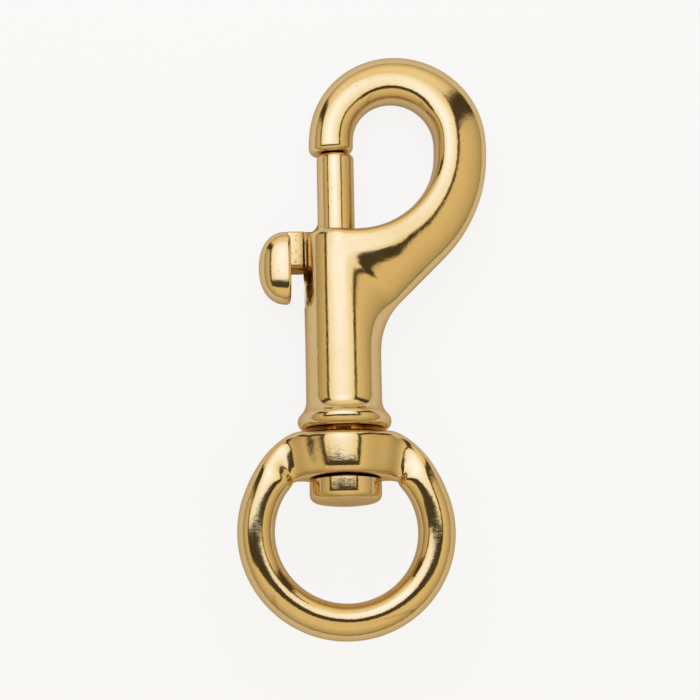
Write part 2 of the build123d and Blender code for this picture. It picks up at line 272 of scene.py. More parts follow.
class SwivelSizes(PropertyGroup):
    """Sizes of the swivel eye and of the rivet that holds it."""

    pin_radius: length("Pin radius", "Shank of the rivet", 3.5)
    pin_seat: length("Pin seat", "How far the shank stands up in the barrel", 6.2)
    head_radius: length("Head radius", "Outside of the rivet's head", 6.35)
    head_height: length("Head height", "Height of the rivet's head", 4.2)
    head_edge: length("Head edge", "Rounding of the head's lower edge", 1.4)
    head_dome: length("Head dome", "Rise of the head's lower face", 0.5)
    boss_height: length("Boss height", "Height of the eye's boss", 8.35)
    boss_thickness: length("Boss thickness", "Thickness of the boss at its middle", 14.1)
    boss_fall: angle("Boss fall", "Slope of the boss's front to the sides", 31)
    boss_round: length("Boss round", "From the swivel axis to where the front falls evenly", 4.7)
    boss_flank: length("Boss flank", "From the swivel axis to where the front starts to flatten out", 9.0)
    boss_spread: length("Boss spread", "From the swivel axis to where the front is flat again", 11.2)
    boss_half_width: length("Boss half width", "From the swivel axis to the boss's corner", 10.4)
    boss_corner: length("Boss corner", "Drop of the boss's corner", 0.7)
    eye_drop: length("Eye drop", "From the collar's foot to the middle of the eye", 18.05)
    eye_radius: length("Eye radius", "Inside of the eye", 12.55)
    wire_width: length("Wire width", "Thickness of the plain ring", 6.6)
    swivel_gap: length("Swivel gap", "Space between collar and boss", 0.45)
    head_gap: length("Head gap", "Space between boss and rivet head", 0.3)
    pin_clearance: length("Pin clearance", "Space round the shank in the boss", 0.06)


class SpringSizes(PropertyGroup):
    """Sizes of the coil spring."""

    wire: length("Wire", "Thickness of the spring's wire", 0.8)
    turns: FloatProperty(name="Turns", description="Turns of the coil", default=6.5)
    clearance: length("Clearance", "Space between the coil and the bore", 0.25)
    end_gap: length("End gap", "Space at each end of the coil", 0.05)


class Finish(PropertyGroup):
    """Colours and gloss of the metals."""

    brass: colour("Brass", "Polished brass", (0.80, 0.635, 0.375))
    worn: colour("Handled brass", "Warmer patches of the polish", (0.79, 0.61, 0.34))
    edge: colour("Edge tint", "Brass seen at a grazing angle", (0.80, 0.66, 0.48))
    # Painted shade: dark brown on the arm's cast skin in the slot and under the arm, for the shade there
    painted_shade: colour("Grime", "Brown dirt where the arm can't be polished", (0.42, 0.22, 0.06))
    cast: colour("Cast skin", "The arm's rough skin", (0.83, 0.64, 0.34))
    pit: colour("Pits", "Dirt in pores and grooves", (0.24, 0.13, 0.04))
    steel: colour("Spring steel", "The spring's wire", (0.56, 0.55, 0.52))
    polish: share("Polish", "Roughness of the polished brass", 0.09)
    skin: share("Cast roughness", "Roughness of the arm's cast skin", 0.24)


class Studio(PropertyGroup):
    """Camera, floor and light."""

    pitch: angle("Pitch", "How far below the hook's face the camera looks from", 11.5)
    swing: angle("Swing", "How far to the knob's side the camera stands", 4)
    roll: angle("Roll", "Turn of the snap in the picture", 1.1)
    distance: length("Distance", "From the camera to the middle of the picture", 565.8)
    aim_across: length("Aim across", "Middle of the picture, across the hook", 1.2)
    aim_along: length("Aim along", "Middle of the picture, along the axis", 14.45)
    view: angle("View", "Width of the camera's view", 12.485)
    room_turn: angle("Room turn", "How far the light stands to the knob's side", 10)
    panel_distance: length("Panel distance", "From the bench to the light panel", 207)
    panel_half: length("Panel half width", "Half of the panel's width", 165)
    panel_foot: length("Panel foot", "Lower edge of the panel, along the axis", 20)
    panel_top: length("Panel top", "Upper edge of the panel, along the axis", 253)
    panel_frame: length("Panel frame", "Width of the panel's dark frame", 48)
    gap_foot: length("Gap foot", "Lower edge of the dark gap that the camera looks through", -58)
    spot_across: length("Spot across", "Brightest place of the panel, across", -5)
    spot_along: length("Spot along", "Brightest place of the panel, along the axis", 115)
    spot_reach: length("Spot reach", "How far the panel's brightest place spreads", 160)
    panel_core: light("Panel core", "Light of the panel's brightest place", (1.34, 1.52, 2.10))
    panel_rim: light("Panel rim", "Light of the panel's edges", (1.08, 0.98, 0.68))
    wall_near: light("Near wall", "The room next to the panel", (0.85, 0.69, 0.38))
    wall_far: light("Far wall", "The room near the floor", (0.43, 0.345, 0.19))
    wall_top: light("Top wall", "The room beyond the hook", (1.02, 0.90, 0.62))
    seam: light("Seams", "Dark gaps between the room's walls", (0.07, 0.055, 0.03))
    floor: colour("Floor", "The pale floor", (0.93, 0.93, 0.92))


def laid(points):
    """Points of the bench, carried to where the snap lies."""
    return FOOT + points @ BENCH


def loops(inner, outer, depth, crest, inner_power, outer_power, rim, columns=ROUND_COLUMNS):
    """One closed loop for each station, square to the bench.

    A loop runs from its inner to its outer point. Its crest stands at the crest share of that width, and
    on each side of the crest it is a quarter of a superellipse of the given power. On the outer side the
    rim share of the height belongs to a second, squarer superellipse, which gives a tight edge.
    """
    turn = np.linspace(0, 2 * pi, columns, endpoint=False)
    run, rise = np.cos(turn), np.sin(turn)
    away = run >= 0
    power = np.where(away, outer_power[:, None], inner_power[:, None])
    side = np.where(away, 1 - crest[:, None], crest[:, None])
    along = crest[:, None] + side * np.sign(run) * np.abs(run) ** (2 / power)
    square = (1 - np.abs(run) ** (2 * RIM_POWER / power)) ** (1 / RIM_POWER)
    tight = np.where(away, rim[:, None], 0)
    lift = (1 - tight) * np.abs(rise) ** (2 / power) + tight * square
    lift = depth[:, None] / 2 * np.sign(rise) * lift
    flat = inner[:, None, :] + (outer - inner)[:, None, :] * along[..., None]
    return np.concatenate([flat, lift[..., None]], axis=2)


def turned(radius, height, centre=0.0, columns=ROUND_COLUMNS):
    """A profile of radii and heights turned round an upright axis that stands at centre."""
    turn = np.linspace(0, 2 * pi, columns, endpoint=False)
    across = centre + radius[:, None] * np.cos(turn)
    through = radius[:, None] * np.sin(turn)
    return np.stack([across, np.broadcast_to(height[:, None], across.shape), through], axis=2)


def arc(centre, radius, first, last, count):
    """Points on an arc between two angles in radians."""
    turn = np.linspace(first, last, count)
    return np.asarray(centre) + radius * np.stack([np.cos(turn), np.sin(turn)], axis=-1)


def meet_circle(start, aim, centre, radius, far=False):
    """Where lines from start along aim enter a circle, or leave it on the far side."""
    offset = start - centre
    half = (aim * offset).sum(axis=-1)
    root = np.sqrt(np.maximum(half**2 - (offset**2).sum(axis=-1) + radius**2, 0))
    return start + aim * (root - half if far else -root - half)[:, None]


def graded(values, way):
    """Cubic curve through values at the whole numbers of the way.

    The slope at each value is the harmonic mean of the rises on both sides, or none at a turn, so the
    curve never overshoots.
    """
    values = np.asarray(values, float)
    rise = np.diff(values)
    product = rise[:-1] * rise[1:]
    both = np.where(product > 0, rise[:-1] + rise[1:], 1)
    slope = np.zeros(len(values))
    slope[1:-1] = np.where(product > 0, 2 * product / both, 0)
    start = np.clip(way.astype(int), 0, len(values) - 2)
    part = way - start
    lead, trail, climb = slope[start], slope[start + 1], rise[start]
    bend = 3 * climb - 2 * lead - trail + part * (lead + trail - 2 * climb)
    return values[start] + part * (lead + part * bend)


def flowing(knots, values, at):
    """Natural cubic curve through rows of values at the knots, from the usual three-term equations."""
    step = np.diff(knots)
    rise = np.diff(values, axis=0) / step[:, None]
    inside = np.arange(1, len(knots) - 1)
    system = np.eye(len(knots))
    system[inside, inside - 1] = step[:-1]
    system[inside, inside] = 2 * (step[:-1] + step[1:])
    system[inside, inside + 1] = step[1:]
    pull = np.zeros_like(values)
    pull[1:-1] = 6 * np.diff(rise, axis=0)
    bend = np.linalg.solve(system, pull)
    cell = np.clip(np.searchsorted(knots, at, side="right") - 1, 0, len(step) - 1)
    gap, part = step[cell][:, None], (at - knots[cell])[:, None]
    first, last = bend[cell], bend[cell + 1]
    slope = rise[cell] - gap * (2 * first + last) / 6
    return values[cell] + part * (slope + part * (first / 2 + part * (last - first) / (6 * gap)))


def travelled(*paths):
    """Mean distance along paths of points that run side by side, from their start."""
    steps = [np.linalg.norm(np.diff(path, axis=0), axis=1) for path in paths]
    return np.concatenate([[0], np.cumsum(np.mean(steps, axis=0))])


def eased(columns, distance, easing, rows):
    """Columns of values along a path, spread evenly over it and run through a bell-shaped mean.

    The bell has the easing as its standard deviation, and each end is carried on by its own mirror image.
    """
    even = np.linspace(0, distance[-1], rows)
    spread = np.stack([np.interp(even, distance, column) for column in columns.T], axis=1)
    reach = int(4 * easing / even[1])
    bell = np.exp(-0.5 * (np.arange(-reach, reach + 1) * even[1] / easing) ** 2)
    longer = np.pad(spread, ((reach, reach), (0, 0)), mode="reflect", reflect_type="odd")
    return np.stack([np.convolve(column, bell / bell.sum(), mode="valid") for column in longer.T], axis=1)


def leave_barrel(size, outer, aim):
    """Where lines from outer along aim leave the barrel.

    They leave it on its slotted side, on the round of its upper corner or on its top.
    """
    radius, corner_radius = size.barrel_radius, size.barrel_corner
    corner = np.array([corner_radius - radius, size.barrel_height - corner_radius])
    with np.errstate(divide="ignore", invalid="ignore"):
        side = outer + aim * ((-radius - outer[:, 0]) / aim[:, 0])[:, None]
        top = outer + aim * ((size.barrel_height - outer[:, 1]) / aim[:, 1])[:, None]
    bend = meet_circle(outer, aim, corner, corner_radius, far=True)
    past_side = (side[:, 1] > corner[1])[:, None]
    on_top = (top[:, 0] >= corner[0])[:, None]
    return np.where(past_side, np.where(on_top, top, bend), side)


def hook_run(size, foot):
    """Way, inner and outer ends of the hook's sections, from a height on the barrel to the crown's end.

    Square to the barrel, then fanned out round the flank's hollow, square to the straight slope, square to
    the shoulder's arc, and last between the two circles of the crown, which aren't concentric.
    """
    lean = size.hook_lean
    flank = np.array([size.barrel_radius + size.flank_radius, size.flank_height])
    slope_start = arc(flank, size.flank_radius, pi - lean, pi - lean, 1)[0]
    shoulder_x = size.hook_reach - size.shoulder_radius
    slope_length = (shoulder_x + size.shoulder_radius * cos(lean) - slope_start[0]) / sin(lean)
    shoulder_rise = (slope_length + size.shoulder_radius * tan(lean)) * cos(lean)
    shoulder = np.array([shoulder_x, slope_start[1] + shoulder_rise])
    inside_x = size.hook_reach - size.bulge_width
    throat = np.array([inside_x - size.throat_radius, size.barrel_height + size.throat_radius])
    crown = np.array([size.hook_reach, size.hook_height]) - size.crown_radius
    loop_radius = size.crown_radius - (size.bulge_width + size.nose_width) / 2
    loop = np.array([inside_x, size.hook_height - size.crown_width]) - loop_radius

    height = np.linspace(foot, size.flank_height, BARREL_ROWS, endpoint=False)
    side = np.full_like(height, size.barrel_radius)
    barrel = np.stack([-side, height], axis=1), np.stack([side, height], axis=1)

    fan = np.linspace(0, 1, ELBOW_ROWS, endpoint=False)
    outer = arc(flank, size.flank_radius, pi, pi - lean * fan[-1], ELBOW_ROWS)
    elbow = leave_barrel(size, outer, (outer - flank) / size.flank_radius), outer

    climb = np.linspace(0, 1, SLOPE_ROWS, endpoint=False)
    outer = slope_start + climb[:, None] * slope_length * np.array([sin(lean), cos(lean)])
    aim = np.broadcast_to(np.array([-cos(lean), sin(lean)]), outer.shape)
    inner = leave_barrel(size, outer, aim)
    in_throat = (inner[:, 0] > throat[0])[:, None]
    slope = np.where(in_throat, meet_circle(outer, aim, throat, size.throat_radius), inner), outer

    swell = np.linspace(0, 1, SHOULDER_ROWS, endpoint=False)
    outer = arc(shoulder, size.shoulder_radius, -lean, -lean * (1 - swell[-1]), SHOULDER_ROWS)
    aim = (shoulder - outer) / size.shoulder_radius
    bulge = meet_circle(outer, aim, throat, size.throat_radius), outer

    over = np.linspace(0, 1, CROWN_ROWS)
    outer = arc(crown, size.crown_radius, 0, pi, CROWN_ROWS)
    inner = meet_circle(outer, (crown - outer) / size.crown_radius, loop, loop_radius)
    shift = np.stack([-size.crown_lean * np.sin(pi * over), np.zeros_like(over)], axis=1)
    top = inner + shift, outer + shift

    plain = (height - foot) / (size.flank_height - foot)
    way = np.concatenate([plain, 1 + fan, 2 + climb, 3 + swell, 4 + 2 * over])
    runs = barrel, elbow, slope, bulge, top
    return way, np.concatenate([run[0] for run in runs]), np.concatenate([run[1] for run in runs])


def round_barrel(size, casting):
    """The casting with its barrel truly round up to the top, which has an eased edge.

    On the slotted side of the axis the depth in front is a circle's. Close to the axis it passes into the
    casting's own depth along a smooth step. The back goes no lower than the floor that the snap lies on.
    """
    across, height, depth = np.moveaxis(casting, 2, 0)
    rise = np.clip((height - size.barrel_height) / size.barrel_edge + 1, 0, 1)
    circle = np.sqrt(np.maximum(size.barrel_radius**2 - across**2, 0))
    circle = np.maximum(circle - size.barrel_edge * (1 - np.sqrt(1 - rise**2)), 0)
    step = np.clip(across / size.barrel_radius / (2 * AXIS_SHARE) + 0.5, 0, 1)
    step = np.where(height > size.barrel_height + size.barrel_edge, 1, step * step * (3 - 2 * step))
    front = circle + step * (depth - circle)
    floor = -(FOOT[2] + height * ALONG[2]) / BENCH[2, 2]
    depth = np.where(np.round(depth / MM, 6) > 0, front, np.maximum(depth, floor))
    return np.stack([across, height, depth], axis=2)


def hook_skin(size, plunger, swivel):
    """Grid of the casting's outside: rivet hole, collar, barrel, hook and nose.

    The collar is a turned profile: a full round rim, and a cove that is an arc tangent to the rim at
    forty-five degrees and to the barrel. The barrel and the hook are the loops of hook_run, eased.
    """
    rim = size.collar_rim / 2
    rim_arc = arc((size.collar_radius - rim, rim), rim, -pi / 2, pi / 4, 24)
    cove_radius = (rim_arc[-1, 0] - size.barrel_radius) / (1 - cos(pi / 4))
    cove_top = rim_arc[-1, 1] + cove_radius * sin(pi / 4)
    cove = arc((size.barrel_radius + cove_radius, cove_top), cove_radius, 1.25 * pi, pi, 16)
    hole = np.array([[swivel.pin_radius, swivel.pin_seat], [swivel.pin_radius, 0]])
    profile = np.concatenate([hole, rim_arc, cove[1:-1]])
    collar = turned(profile[:, 0], profile[:, 1])

    way, inner, outer = hook_run(size, cove_top)
    thickness = [2 * size.barrel_radius * part for part in ROOT_THICKNESS_SHARES]
    thickness += [size.bulge_thickness, size.crown_thickness, size.nose_thickness, size.nose_thickness]
    axis_share = np.where(way < 2, -inner[:, 0] / (outer[:, 0] - inner[:, 0]), 0)
    crest = np.maximum(axis_share, graded(CREST_SHARES, way))
    form = [graded(thickness, way), crest]
    form += [graded(kind, way) for kind in (INNER_POWERS, OUTER_POWERS, RIM_SHARES)]
    columns = np.concatenate([inner, outer, np.stack(form, axis=1)], axis=1)
    soft = eased(columns, travelled(inner, outer), size.easing, CASTING_ROWS)
    casting = round_barrel(size, loops(soft[:, :2], soft[:, 2:4], *soft[:, 4:].T))

    turn = np.linspace(0, pi / 2, 8)
    inset = 1 - np.cos(turn)
    nose_height = plunger.bolt_top + size.nose_gap + size.nose_round * (1 - np.sin(turn))
    outer_x = size.hook_reach - 2 * size.crown_radius
    inner = np.stack([outer_x + size.nose_width - size.nose_heel * inset, nose_height], axis=1)
    outer = np.stack([outer_x + size.nose_toe * inset, nose_height], axis=1)
    even = np.ones_like(turn)
    nose = loops(inner, outer, size.nose_thickness - 2 * size.nose_lip * inset, even * CREST_SHARES[-1],
                 even * INNER_POWERS[-1], even * OUTER_POWERS[-1], even * RIM_SHARES[-1])
    return np.concatenate([collar, casting, nose])


def bore_cutter(hook, plunger, swivel):
    """Grid of the space inside the barrel: the bolt's bore, with an eased mouth at the barrel's top."""
    radius = plunger.bolt_radius + plunger.bolt_clearance
    lip = plunger.slot_lip * MOUTH_SHARE
    mouth = arc((radius + lip, hook.barrel_height - lip), lip, pi, pi / 2, 6)
    ends = np.array([[radius, swivel.pin_seat - OVERLAP], [radius + lip, hook.barrel_height + OVERRUN]])
    profile = np.concatenate([ends[:1], mouth, ends[1:]])
    return turned(profile[:, 0], profile[:, 1], plunger.bolt_offset)


def slot_cutter(hook, plunger):
    """Grid of the slot's space: a level profile carried up the barrel.

    The profile is as wide as the arm and its clearances. On the hook's face it widens by a quarter round
    at the barrel's outside. At the slot's foot it narrows along a quarter round too.
    """
    half = plunger.arm_thickness / 2 + plunger.slot_clearance
    lip = plunger.slot_lip
    wall = -((hook.barrel_radius**2 - half**2) ** 0.5)
    turn = np.linspace(0, pi / 2, 10)
    flare = np.stack([wall + lip * (LIP_SHARE - np.sin(turn)), half + lip * (1 - np.cos(turn))], axis=1)
    ends = np.array([[plunger.bolt_offset, half], [-hook.barrel_radius - OVERRUN, half + lip]])
    back = np.array([[-hook.barrel_radius - OVERRUN, -half], [plunger.bolt_offset, -half]])
    profile = np.concatenate([ends[:1], flare, ends[1:], back])
    foot_round = plunger.arm_under_edge + plunger.slot_clearance
    bottom = plunger.arm_top - plunger.arm_height - plunger.travel - plunger.stop_clearance
    turn = np.linspace(0, pi / 2, 12)
    rise = np.append(bottom + foot_round * (1 - np.cos(turn)), hook.barrel_height + OVERRUN)
    narrow = np.append(1 - foot_round * (1 - np.sin(turn)) / half, 1)
    across = np.broadcast_to(profile[:, 0], (len(rise), len(profile)))
    up = np.broadcast_to(rise[:, None], across.shape)
    return np.stack([across, up, profile[:, 1] * narrow[:, None]], axis=2)


def bolt_grid(size):
    """Grid of the round bolt: a turned profile with a rounded tip."""
    tip = arc((size.bolt_radius - size.bolt_tip_round, size.bolt_top - size.bolt_tip_round),
              size.bolt_tip_round, 0, pi / 2, 12)
    profile = np.concatenate([[[size.bolt_radius, size.bolt_bottom]], tip])
    return turned(profile[:, 0], profile[:, 1], size.bolt_offset)


def arm_grid(size):
    """Grid of the arm: a rounded rectangle carried from the knob to the bolt's axis.

    Where it enters the slot, it narrows along a smooth step. Next to the bolt its upper side climbs along
    a quarter round, the fillet at its root, which follows the bolt's own round.
    """
    half, top = size.arm_thickness / 2, size.arm_top
    bottom = top - size.arm_height
    upper, under = size.arm_edge, size.arm_under_edge
    level = np.linspace(half - upper, upper - half, 9)[1:-1]
    corners = np.concatenate([
        arc((half - upper, top - upper), upper, 0, pi / 2, 8),
        np.stack([level, np.full_like(level, top)], axis=1),
        arc((upper - half, top - upper), upper, pi / 2, pi, 8),
        arc((under - half, bottom + under), under, pi, 1.5 * pi, 8),
        arc((half - under, bottom + under), under, 1.5 * pi, 2 * pi, 8),
    ])
    wall = size.bolt_offset - (size.bolt_radius**2 - half**2) ** 0.5
    turn = np.linspace(0, pi / 2, 10)
    ease = np.linspace(0, 1, 6)
    neck = size.arm_neck_start + size.arm_neck * (ease - 1)
    outside = np.concatenate([[-size.knob_face - size.arm_seat], neck])
    across = np.concatenate([outside, wall - size.arm_root * (1 - np.sin(turn)), [size.bolt_offset]])
    climb = np.concatenate([0 * outside, size.arm_root * (1 - np.cos(turn)), [size.arm_root]])
    narrow = np.concatenate([[0], ease * ease * (3 - 2 * ease), np.ones(len(turn) + 1)])
    narrow = narrow * size.arm_neck / half
    lifted = np.where(corners[:, 1] > (top + bottom) / 2, 1.0, 0.0)
    up = corners[:, 1] + climb[:, None] * lifted
    through = corners[:, 0] * (1 - narrow[:, None])
    bulge = wall - size.bolt_offset + np.sqrt(size.bolt_radius**2 - corners[:, 0] ** 2)
    rooted = np.concatenate([0 * outside, np.ones(len(turn)), [0]])
    return np.stack([across[:, None] - rooted[:, None] * bulge, up, through], axis=2)


def knob_grid(size):
    """Grid of the thumb knob: a quarter of a superellipse and a rounded rim, carried round the arm's line
    along another superellipse that is squeezed to the knob's thickness."""
    radius = size.knob_height / 2
    depth = size.knob_reach - size.knob_face - size.knob_rim
    turn = np.linspace(APEX, pi / 2, 40)
    dome = np.stack([size.knob_face + size.knob_rim + depth * np.cos(turn) ** (2 / KNOB_POWER),
                     radius * np.sin(turn) ** (2 / KNOB_POWER)], axis=1)
    rim = arc((size.knob_face + size.knob_rim, radius - size.knob_rim), size.knob_rim, pi / 2, pi, 10)
    profile = np.concatenate([dome[:-1], rim])
    turn = np.linspace(0, 2 * pi, ROUND_COLUMNS, endpoint=False)
    round_trip = np.stack([np.cos(turn), np.sin(turn)])
    rise, swell = np.sign(round_trip) * np.abs(round_trip) ** (2 / KNOB_SECTION_POWER)
    up = size.knob_centre + profile[:, 1:] * rise
    through = profile[:, 1:] * swell * size.knob_thickness / size.knob_height
    return np.stack([np.broadcast_to(-profile[:, :1], up.shape), up, through], axis=2)


def coil_grid(size, plunger, swivel):
    """Grid of the spring: a circle carried along a helix, square to it."""
    wire = size.wire / 2
    radius = plunger.bolt_radius + plunger.bolt_clearance - size.clearance - wire
    bottom = swivel.pin_seat + size.end_gap + wire
    height = plunger.bolt_bottom - size.end_gap - wire - bottom
    turn = np.linspace(0, 2 * pi * size.turns, int(COIL_ROWS * size.turns))[:, None]
    flat = np.zeros_like(turn)
    outward = np.concatenate([np.cos(turn), flat, np.sin(turn)], axis=1)
    axis = np.concatenate([flat + plunger.bolt_offset, bottom + height * turn / turn[-1], flat], axis=1)
    path = radius * outward + axis
    climb = np.array([0, height / turn[-1, 0], 0])
    forward = radius * np.concatenate([-np.sin(turn), flat, np.cos(turn)], axis=1) + climb
    binormal = np.cross(forward / np.linalg.norm(forward, axis=1, keepdims=True), outward)
    spin = np.linspace(0, 2 * pi, WIRE_COLUMNS, endpoint=False)[:, None]
    return path[:, None] + wire * (np.cos(spin) * outward[:, None] + np.sin(spin) * binormal[:, None])


def eye_keys(size):
    """Inner and outer ends, thickness and power of the eye's key sections.

    They run from the boss's middle to the ring's foot. From its middle the boss's front falls along a
    round, then evenly, and flattens out along another round.
    """
    middle = np.array([0, -size.eye_drop])
    top = np.full(len(BOSS_SHARES), -size.swivel_gap)
    outer = np.stack([size.boss_half_width * BOSS_SHARES, top], axis=1)
    inner = outer * (BOSS_INNER_SHARE, 1) - (0, size.boss_height)
    across = np.append((inner[:, 0] + outer[:, 0]) / 2, size.boss_half_width)
    last_round = size.boss_spread - size.boss_flank
    first = np.minimum(across, size.boss_round)
    even = np.clip(across - size.boss_round, 0, size.boss_flank - size.boss_round)
    last = np.clip(across - size.boss_flank, 0, last_round)
    last = last - last**2 / (2 * last_round)
    fall = tan(size.boss_fall) * (first**2 / (2 * size.boss_round) + even + last)
    corner = np.array([[size.boss_half_width, -size.swivel_gap - size.boss_corner]])
    hollow = arc(middle, size.eye_radius, radians(HOLLOW_ANGLE), 0, 1)
    turn = np.radians(RING_ANGLES)
    ray = np.stack([np.cos(turn), np.sin(turn)], axis=1)
    ring_inner = middle + size.eye_radius * ray
    ring_outer = middle + (size.eye_radius + size.wire_width * (1 + RING_SWELL_SHARES))[:, None] * ray
    depth = np.append(size.boss_thickness - 2 * fall, size.wire_width * RING_DEPTH_SHARES)
    power = np.concatenate([BOSS_POWERS, [CORNER_POWER], RING_POWERS])
    inner = np.concatenate([inner, hollow, ring_inner])
    outer = np.concatenate([outer, corner, ring_outer])
    return inner, outer, depth, power


def polar(points, middle):
    """Angle and radius of points about a middle."""
    offset = points - middle
    return np.stack([np.arctan2(offset[:, 1], offset[:, 0]), np.linalg.norm(offset, axis=1)], axis=1)


def from_polar(turns, middle):
    """Points at angles and radii about a middle."""
    ray = np.stack([np.cos(turns[:, 0]), np.sin(turns[:, 0])], axis=1)
    return middle + turns[:, 1:] * ray


def eye_grid(size):
    """Grid of the eye: loops along a smooth curve through the key sections.

    The curve is written as angles and radii about the eye's middle, so that the plain ring comes out truly
    round. The left half is the mirror image of the right one.
    """
    middle = np.array([0, -size.eye_drop])
    inner, outer, depth, power = eye_keys(size)
    distance = travelled(inner, outer)
    section = np.stack([depth, power], axis=1)
    form = np.concatenate([polar(inner, middle), polar(outer, middle), section], axis=1)
    mirrored = form[MIRRORED_KEYS:0:-1].copy()
    mirrored[:, [0, 2]] = pi - mirrored[:, [0, 2]]
    knots = np.concatenate([-distance[MIRRORED_KEYS:0:-1], distance])
    smooth = flowing(knots, np.concatenate([mirrored, form]), np.linspace(0, distance[-1], EYE_ROWS))
    inner, outer = from_polar(smooth[:, :2], middle), from_polar(smooth[:, 2:4], middle)
    even = np.full(EYE_ROWS, 0.5)
    right = loops(inner, outer, smooth[:, 4], even, smooth[:, 5], smooth[:, 5], 0 * even)
    left = right[-2:0:-1] * (-1, 1, 1)
    return np.concatenate([right, left])


def pin_hole_cutter(size):
    """Grid of the hole through the boss."""
    radius = size.pin_radius + size.pin_clearance
    height = np.array([-size.swivel_gap - size.boss_height - OVERRUN, -size.swivel_gap + OVERRUN])
    return turned(np.array([radius, radius]), height)


def rivet_grid(size):
    """Grid of the rivet: a domed head with a rounded edge under the boss, and a shank into the barrel."""
    top = -size.swivel_gap - size.boss_height - size.head_gap
    bottom = top - size.head_height
    centre = size.head_radius - size.head_edge, bottom + size.head_dome + size.head_edge
    edge = arc(centre, size.head_edge, -pi / 2 + DOME_TILT, 0, 12)
    reach = np.linspace(APEX, 1, 16)[:-1]
    dome = np.stack([reach * edge[0, 0], bottom + (edge[0, 1] - bottom) * reach**2], axis=1)
    shank = np.array([[size.head_radius, top], [size.pin_radius, top], [size.pin_radius, size.pin_seat]])
    profile = np.concatenate([dome, edge, shank])
    return turned(profile[:, 0], profile[:, 1])


def shell(name, grid, ring=False):
    """Mesh object of a grid whose columns close on themselves.

    A ring's rows close too, and other grids get end faces. A shell that is inside out is turned.
    """
    rows, columns = grid.shape[:2]
    index = np.arange(rows * columns).reshape(rows, columns)
    lower, upper = (index, np.roll(index, -1, axis=0)) if ring else (index[:-1], index[1:])
    corners = np.stack([lower, np.roll(lower, -1, axis=1), np.roll(upper, -1, axis=1), upper], axis=-1)
    faces = corners.reshape(-1, 4).tolist()
    if not ring:
        faces += [index[0, ::-1].tolist(), index[-1].tolist()]
    mesh = bpy.data.meshes.new(name)
    mesh.from_pydata(laid(grid.reshape(-1, 3)), [], faces)
    solid = bmesh.new()
    solid.from_mesh(mesh)
    inside_out = solid.calc_volume(signed=True) < 0
    solid.free()
    if inside_out:
        mesh.flip_normals()
    piece = bpy.data.objects.new(name, mesh)
    bpy.context.scene.collection.objects.link(piece)
    return piece


def combine(piece, tool, operation):
    """Joins a second shell to a piece, or takes it away from it, and removes the second shell."""
    boolean = piece.modifiers.new(operation.lower(), "BOOLEAN")
    boolean.operation = operation
    boolean.solver = "EXACT"
    boolean.object = tool
    drawn = piece.evaluated_get(bpy.context.evaluated_depsgraph_get())
    mesh = bpy.data.meshes.new_from_object(drawn)
    piece.modifiers.clear()
    piece.data = mesh
    bpy.data.objects.remove(tool)


def fit(piece, body, node, material):
    """Smooth shading, the finish, and the piece's place in the frame."""
    mesh = piece.data
    mesh.polygons.foreach_set("use_smooth", np.ones(len(mesh.polygons), bool))
    mesh.set_sharp_from_angle(angle=SHARP)
    mesh.materials.clear()
    mesh.materials.append(material)
    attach(piece, body)
    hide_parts(node)


def add_node(tree, kind, inputs=None, **settings):
    """A shader node with its settings, and its sockets set to values or linked to other sockets."""
    made = tree.nodes.new(kind)
    for key, value in settings.items():
        setattr(made, key, value)
    for key, value in (inputs or {}).items():
        if isinstance(value, bpy.types.NodeSocket):
            tree.links.new(value, made.inputs[key])
        else:
            made.inputs[key].default_value = value
    return made


def noise(tree, place, scale, detail):
    """Grey noise at a scale in cycles a metre."""
    made = add_node(tree, "ShaderNodeTexNoise", {"Vector": place, "Scale": scale, "Detail": detail})
    return made.outputs["Fac"]


def ranged(tree, value, low, high, to_low=0.0, to_high=1.0):
    """A value carried from one range to another and kept within it."""
    made = add_node(tree, "ShaderNodeMapRange", {
        "Value": value, "From Min": low, "From Max": high, "To Min": to_low, "To Max": to_high})
    return made.outputs["Result"]


def calculated(tree, operation, first, second=0.0):
    """Result of a Math node."""
    return add_node(tree, "ShaderNodeMath", {0: first, 1: second}, operation=operation).outputs["Value"]


def product(tree, *masks):
    """Masks multiplied with each other."""
    result = masks[0]
    for mask in masks[1:]:
        result = calculated(tree, "MULTIPLY", result, mask)
    return result


def band(tree, value, start, full, ease, end):
    """Mask that rises from start to full, and falls from ease to end."""
    return product(tree, ranged(tree, value, start, full), ranged(tree, value, ease, end, 1, 0))


def blended(tree, factor, first, second, kind="RGBA"):
    """Mix of two colours, or of two numbers or vectors."""
    one, other, result = MIX_SOCKETS[kind]
    made = add_node(tree, "ShaderNodeMix", {0: factor, one: first, other: second}, data_type=kind)
    return made.outputs[result]


def vector_math(tree, operation, first, second, result="Value"):
    """Result of a Vector Math node for a vector and a fixed second one."""
    made = add_node(tree, "ShaderNodeVectorMath", {0: first, 1: tuple(second)}, operation=operation)
    return made.outputs[result]


def measured(tree, vector, axes):
    """Parts of a vector along each of the axes."""
    return [vector_math(tree, "DOT_PRODUCT", vector, axis) for axis in axes]


def bumped(tree, height, depth, normal=None):
    """Normal of a surface with that height map and depth in metres."""
    inputs = {"Height": height, "Distance": depth}
    if normal is not None:
        inputs["Normal"] = normal
    return add_node(tree, "ShaderNodeBump", inputs).outputs["Normal"]


def opaque(rgb):
    """A colour with full cover."""
    return (*rgb, 1.0)


